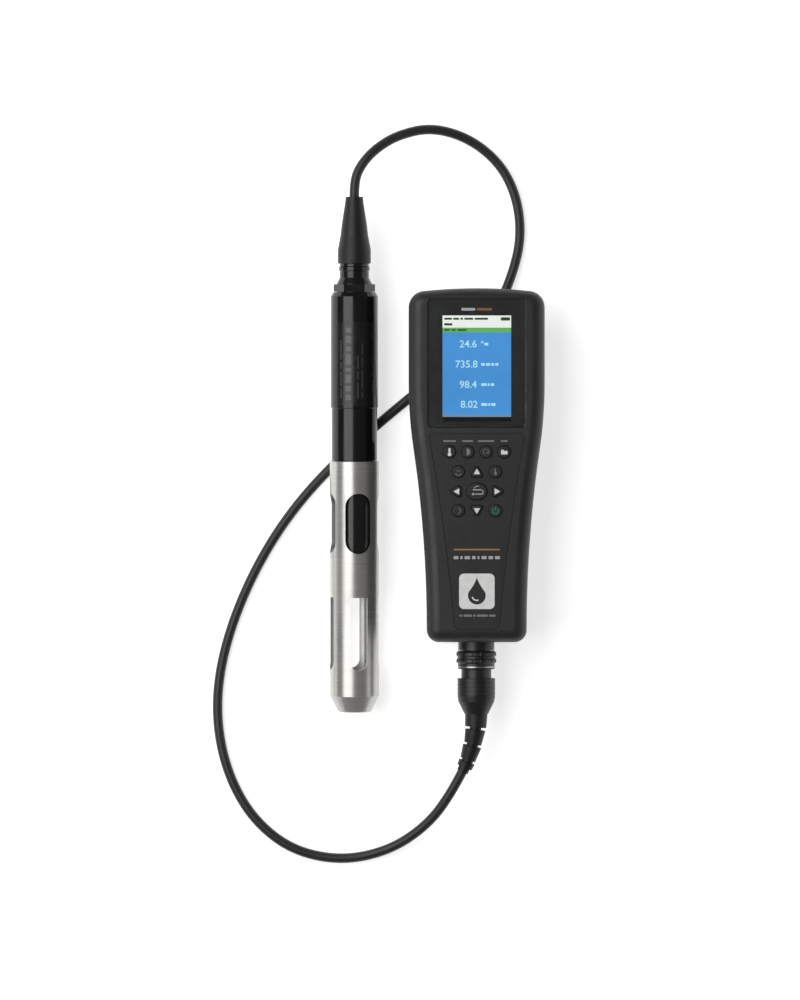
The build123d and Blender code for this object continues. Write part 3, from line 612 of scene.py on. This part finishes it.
def make_key_marks():
    """Plain pictures: a thermometer, a probe's window, a dial, a folder, arrows and so on."""
    thermometer = disc(0, -1.5, 1.1) + rectangle(0, 0.8, 1.3, 3.0, 0.5)
    print_key("key_system", thermometer, ink_white)
    print_key("key_probe", disc(-0.7, 0, 2.2, -90, 90), ink_grey)
    dial = ring(0, 0, 1.7, 0.5, -60, 240) + rectangle(0.5, -0.3, 1.6, 0.6, 0.2)
    print_key("key_calibration", dial, ink_dim)
    folder = rectangle(0, -0.5, 4.0, 2.1, 0.4) + rectangle(-1.1, 0.95, 1.7, 0.6, 0.2)
    print_key("key_file", folder, ink_white)
    lamp = ring(0, -0.4, 1.8, 0.6, 200, 340) + rectangle(0, 0.5, 2.6, 0.5, 0.2)
    print_key("key_backlight", lamp, ink_dim)
    print_key("key_help", disc(0, -1.0, 0.9) + rectangle(-0.2, 1.0, 0.7, 2.0, 0.3), ink_grey)
    print_key("key_escape", ring(-0.3, 0, 1.6, 0.6, -80, 80), ink_dim)
    power = ring(0, -0.2, 1.7, 0.6, -230, 50) + rectangle(0, 1.2, 0.6, 2.0, 0.25)
    print_key("key_power", power, ink_green)
    for name, turn, inwards in (
        ("key_up", 90, 0.4), ("key_left", 180, 1.1), ("key_down", 270, 0.4), ("key_right", 0, 1.1),
    ):
        across = -inwards * math.cos(math.radians(turn))
        along = -inwards * math.sin(math.radians(turn))
        print_key(name, triangle(across, along, 2.3, turn), ink_white)
    enter = rectangle(0.3, 1.0, 5.6, 0.6, 0.25) + rectangle(1.2, -1.6, 5.0, 0.6, 0.25)
    enter += rectangle(3.7, -0.3, 0.6, 2.0, 0.25) + triangle(-2.3, -1.6, 1.1, 180)
    enter += ring(0.6, 0.4, 2.8, 0.45, 75, 150)
    print_key("key_enter", enter, ink_bright)


def make_panel_marks():
    """Caption bars, a thin orange rule and a badge with a water drop; none of them is lettering."""
    panel_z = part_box("keypad_panel")[1].z

    def mark(name, faces, material):
        print_flat(name, faces, panel_z, "root", material)

    captions = []
    row = key_centre("key_system")[1] + 6.6
    lengths = {"key_system": 7.6, "key_probe": 6.6, "key_calibration": 10.0, "key_file": 4.2}
    for name, length in lengths.items():
        captions += rectangle(key_centre(name)[0], row, length, 1.0, 0.4)
    mark("captions", captions, ink_grey)
    mark("orange_rule", rectangle(0, 56.6, 28.0, 0.9, 0.3), ink_orange)
    wide_bars = bars(-14.2, 51.7, (3.0, 1.4, 3.4, 2.2, 1.2, 3.2, 2.8, 3.0), 1.9, 1.15, 0.5)
    mark("plain_bars", wide_bars, ink_bright)
    drop_middle = 28.6
    badge_outline = rectangle(0, 31.2, 21.6, 21.6, 3.0)[0]
    mark("badge", badge_faces(badge_outline, drop(0, drop_middle, 5.4)[0]), ink_white)
    mark("badge_ripple", ring(0, drop_middle, 2.9, 0.8, 195, 290), ink_white)
    mark("small_bars", bars(-10.6, 16.4, (1.6, 5.2, 1.4, 6.6, 4.0), 1.3, 0.8, 0.4), ink_grey)


def badge_faces(outer, hole):
    """Faces between a closed outline and a hole in it, matched by direction from its middle."""
    middle = (0.0, sum(y for _, y in hole) / len(hole))

    def direction(point):
        return math.atan2(point[1] - middle[1], point[0] - middle[0])

    def at(outline, turn):
        """Where a ray from the middle meets the outline."""
        slack = 1e-9  # an edge counts a hair beyond its ends, so that no corner is missed
        ray = (math.cos(turn), math.sin(turn))
        for a, b in zip(outline, outline[1:] + outline[:1]):
            edge = (b[0] - a[0], b[1] - a[1])
            cross = ray[0] * edge[1] - ray[1] * edge[0]
            if abs(cross) < 1e-12:
                continue
            offset = (a[0] - middle[0], a[1] - middle[1])
            reach = (offset[0] * edge[1] - offset[1] * edge[0]) / cross
            share = (offset[0] * ray[1] - offset[1] * ray[0]) / cross
            if reach > 0 and -slack <= share <= 1 + slack:
                return middle[0] + ray[0] * reach, middle[1] + ray[1] * reach
        return outline[0]

    turns = sorted({round(direction(point), 6) for point in outer + hole})
    turns.append(turns[0] + 2 * math.pi)
    return band([at(outer, turn) for turn in turns], [at(hole, turn) for turn in turns])


make_key_marks()
make_panel_marks()


# ---------------------------------------------------------------- probe label
def make_probe_marks():
    """Plain marks printed in lines along the probe's label, wrapped round it."""
    low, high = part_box("probe_label")
    middle = (low + high) / 2
    radius = (high.x - low.x) / 2
    joint = next(joint for joint in frame["joints"] if joint["name"] == "guard_removal")
    along_probe = -Vector(joint["axis"]).normalized()
    across_probe = Vector((1, 0, 0))
    up = across_probe.cross(along_probe)

    def wrapped(reach):
        def place(around, along):
            turn = around * MM / radius
            out = up * math.cos(turn) + across_probe * math.sin(turn)
            return middle + along_probe * (along * MM) + out * reach
        return place

    def mark(name, faces, material):
        front, back = wrapped(radius + print_thickness), wrapped(radius - print_thickness)
        solid(name, faces, front, back, "root", material)

    def bar(around, along, width, length):
        """A bar in narrow strips, so that it follows the label's curve."""
        strips = 8
        step = width / strips
        first = around - width / 2 + step / 2
        faces = []
        for i in range(strips):
            faces += rectangle(first + i * step, along, step, length)
        return faces

    words = []
    start = -22.0
    for length in (3.4, 3.4, 5.0, 2.2, 6.4, 3.0, 4.6, 3.0):
        words += bar(-3.6, start + length / 2, 3.4, length)
        start += length + 1.9
    mark("label_words", words, ink_dim)
    lines = []
    for around, lengths in ((-8.6, (6, 9, 4, 12)), (2.2, (10, 5, 8)), (5.0, (4, 12, 6, 7))):
        start = -21.0
        for length in lengths:
            lines += bar(around, start + length / 2, 0.9, length)
            start += length + 1.6
    mark("label_lines", lines, ink_faint)


make_probe_marks()


# ---------------------------------------------------------------- floor and light
def make_floor():
    """A table top that runs far past the picture's edges."""
    half = 3.0
    corners = [(-half, -half, 0), (half, -half, 0), (half, half, 0), (-half, half, 0)]
    mesh = bpy.data.meshes.new("floor")
    mesh.from_pydata(corners, [], [(0, 1, 2, 3)])
    mesh.materials.append(pale_floor())
    floor = bpy.data.objects.new("floor", mesh)
    floor.location.z = -0.0002  # just clear of the parts that lie on the table
    bpy.context.scene.collection.objects.link(floor)


def softbox(name, turn, towards, distance, width, length, power):
    """A soft light turned from straight up towards +X by turn degrees, facing a point."""
    light = bpy.data.lights.new(name, "AREA")
    light.shape = "RECTANGLE"
    light.size = width
    light.size_y = length
    light.energy = power
    lamp = bpy.data.objects.new(name, light)
    lamp.rotation_euler = (0, math.radians(turn), 0)
    out = Vector((math.sin(math.radians(turn)), 0, math.cos(math.radians(turn))))
    lamp.location = Vector(towards) + out * distance
    lamp.visible_camera = False
    bpy.context.scene.collection.objects.link(lamp)


def make_light():
    """A large light up on the left, a low fill on the right, and a weak light all round."""
    softbox(
        "main_softbox", turn=-32.0, towards=(-0.02, 0.38, 0.03), distance=1.3,
        width=1.10, length=1.8, power=15.5,
    )
    softbox(
        "right_fill", turn=76.0, towards=(-0.02, 0.10, 0.03), distance=1.4,
        width=0.68, length=1.7, power=2.9,
    )
    world = bpy.data.worlds.new("studio")
    world.use_nodes = True
    background = world.node_tree.nodes["Background"]
    background.inputs["Color"].default_value = (1, 1, 1, 1)
    background.inputs["Strength"].default_value = 0.14
    bpy.context.scene.world = world
    bpy.context.scene.view_settings.view_transform = "Standard"


make_floor()
make_light()
